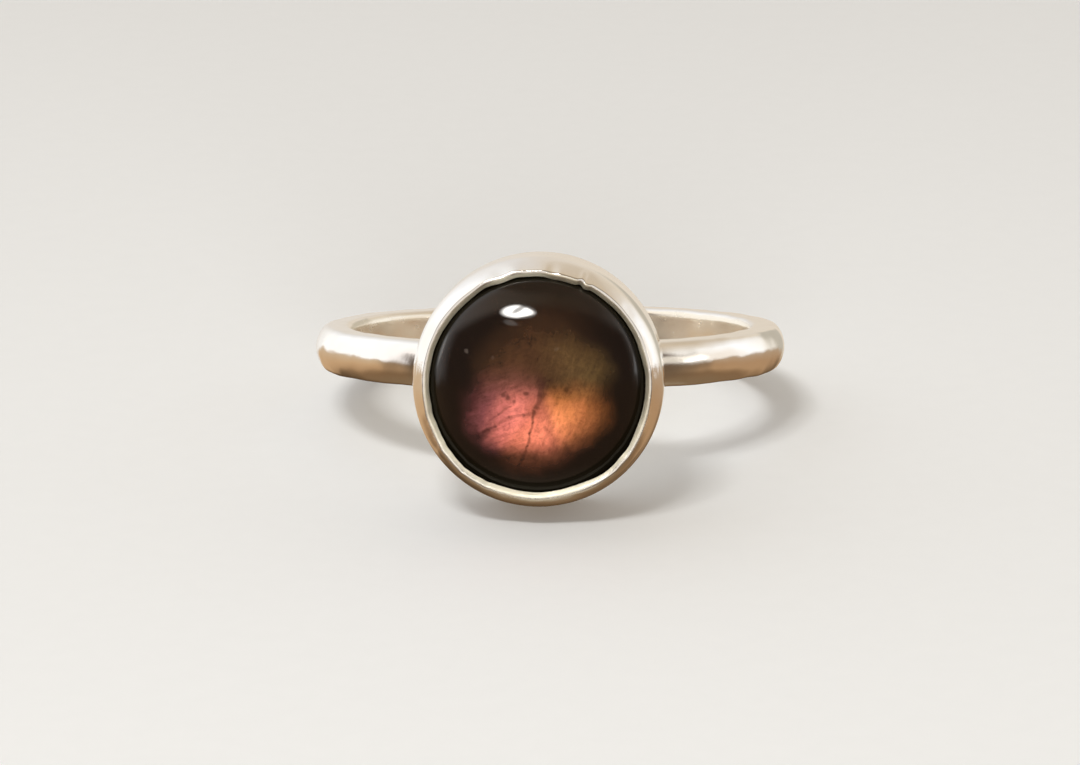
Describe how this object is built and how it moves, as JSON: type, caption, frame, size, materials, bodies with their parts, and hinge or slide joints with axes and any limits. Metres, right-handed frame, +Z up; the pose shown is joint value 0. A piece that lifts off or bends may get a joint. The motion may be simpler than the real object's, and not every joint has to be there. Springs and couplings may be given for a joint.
{
  "type": "bezel-set spectrolite ring",
  "caption": "Slim silver finger ring whose half-round band carries a round domed cabochon of dark spectrolite in a plain closed bezel cup, lying on its side as it rests on a table.",
  "frame": {"origin": "on the table, under the middle of the ring's bounding box as it rests on its side", "axes": "+Z up from the table, -Y the way that the setting faces (raised by 12.48 degrees), X across the finger hole"},
  "size_m": [0.0214, 0.0266, 0.0111],
  "materials": {
    "silver": "polished",
    "spectrolite": "polished"
  },
  "bodies": {
    "root": {"band_and_bezel": "silver", "stone": "spectrolite"}
  },
  "joints": []
}
